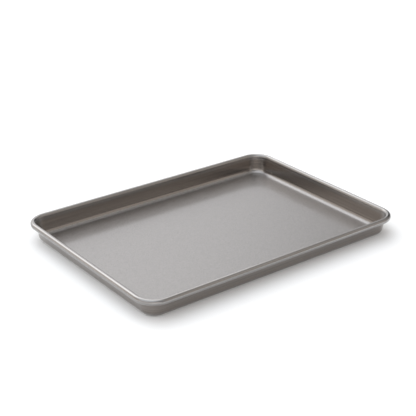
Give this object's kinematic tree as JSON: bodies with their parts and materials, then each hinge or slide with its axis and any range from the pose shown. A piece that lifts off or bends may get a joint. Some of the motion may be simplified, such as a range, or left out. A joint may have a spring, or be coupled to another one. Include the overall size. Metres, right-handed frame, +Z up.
{
  "type": "sheet pan",
  "caption": "Shallow rectangular sheet pan with a flat floor, flared walls, round corners and a rim rolled outward over a wire, for baking and roasting on an oven rack.",
  "frame": {"origin": "centre of the flat underside, on the plane the pan stands on", "axes": "+X along the long side, +Y from the front long side to the back long side, +Z up"},
  "size_m": [0.457, 0.33, 0.031],
  "materials": {
    "coated_steel": "satin metallic grey nonstick coating with a fine speckle",
    "wire_steel": "plain drawn steel wire, hidden inside the rolled rim"
  },
  "bodies": {
    "root": {"pan_body": "coated_steel", "rim_wire": "wire_steel"}
  },
  "joints": []
}
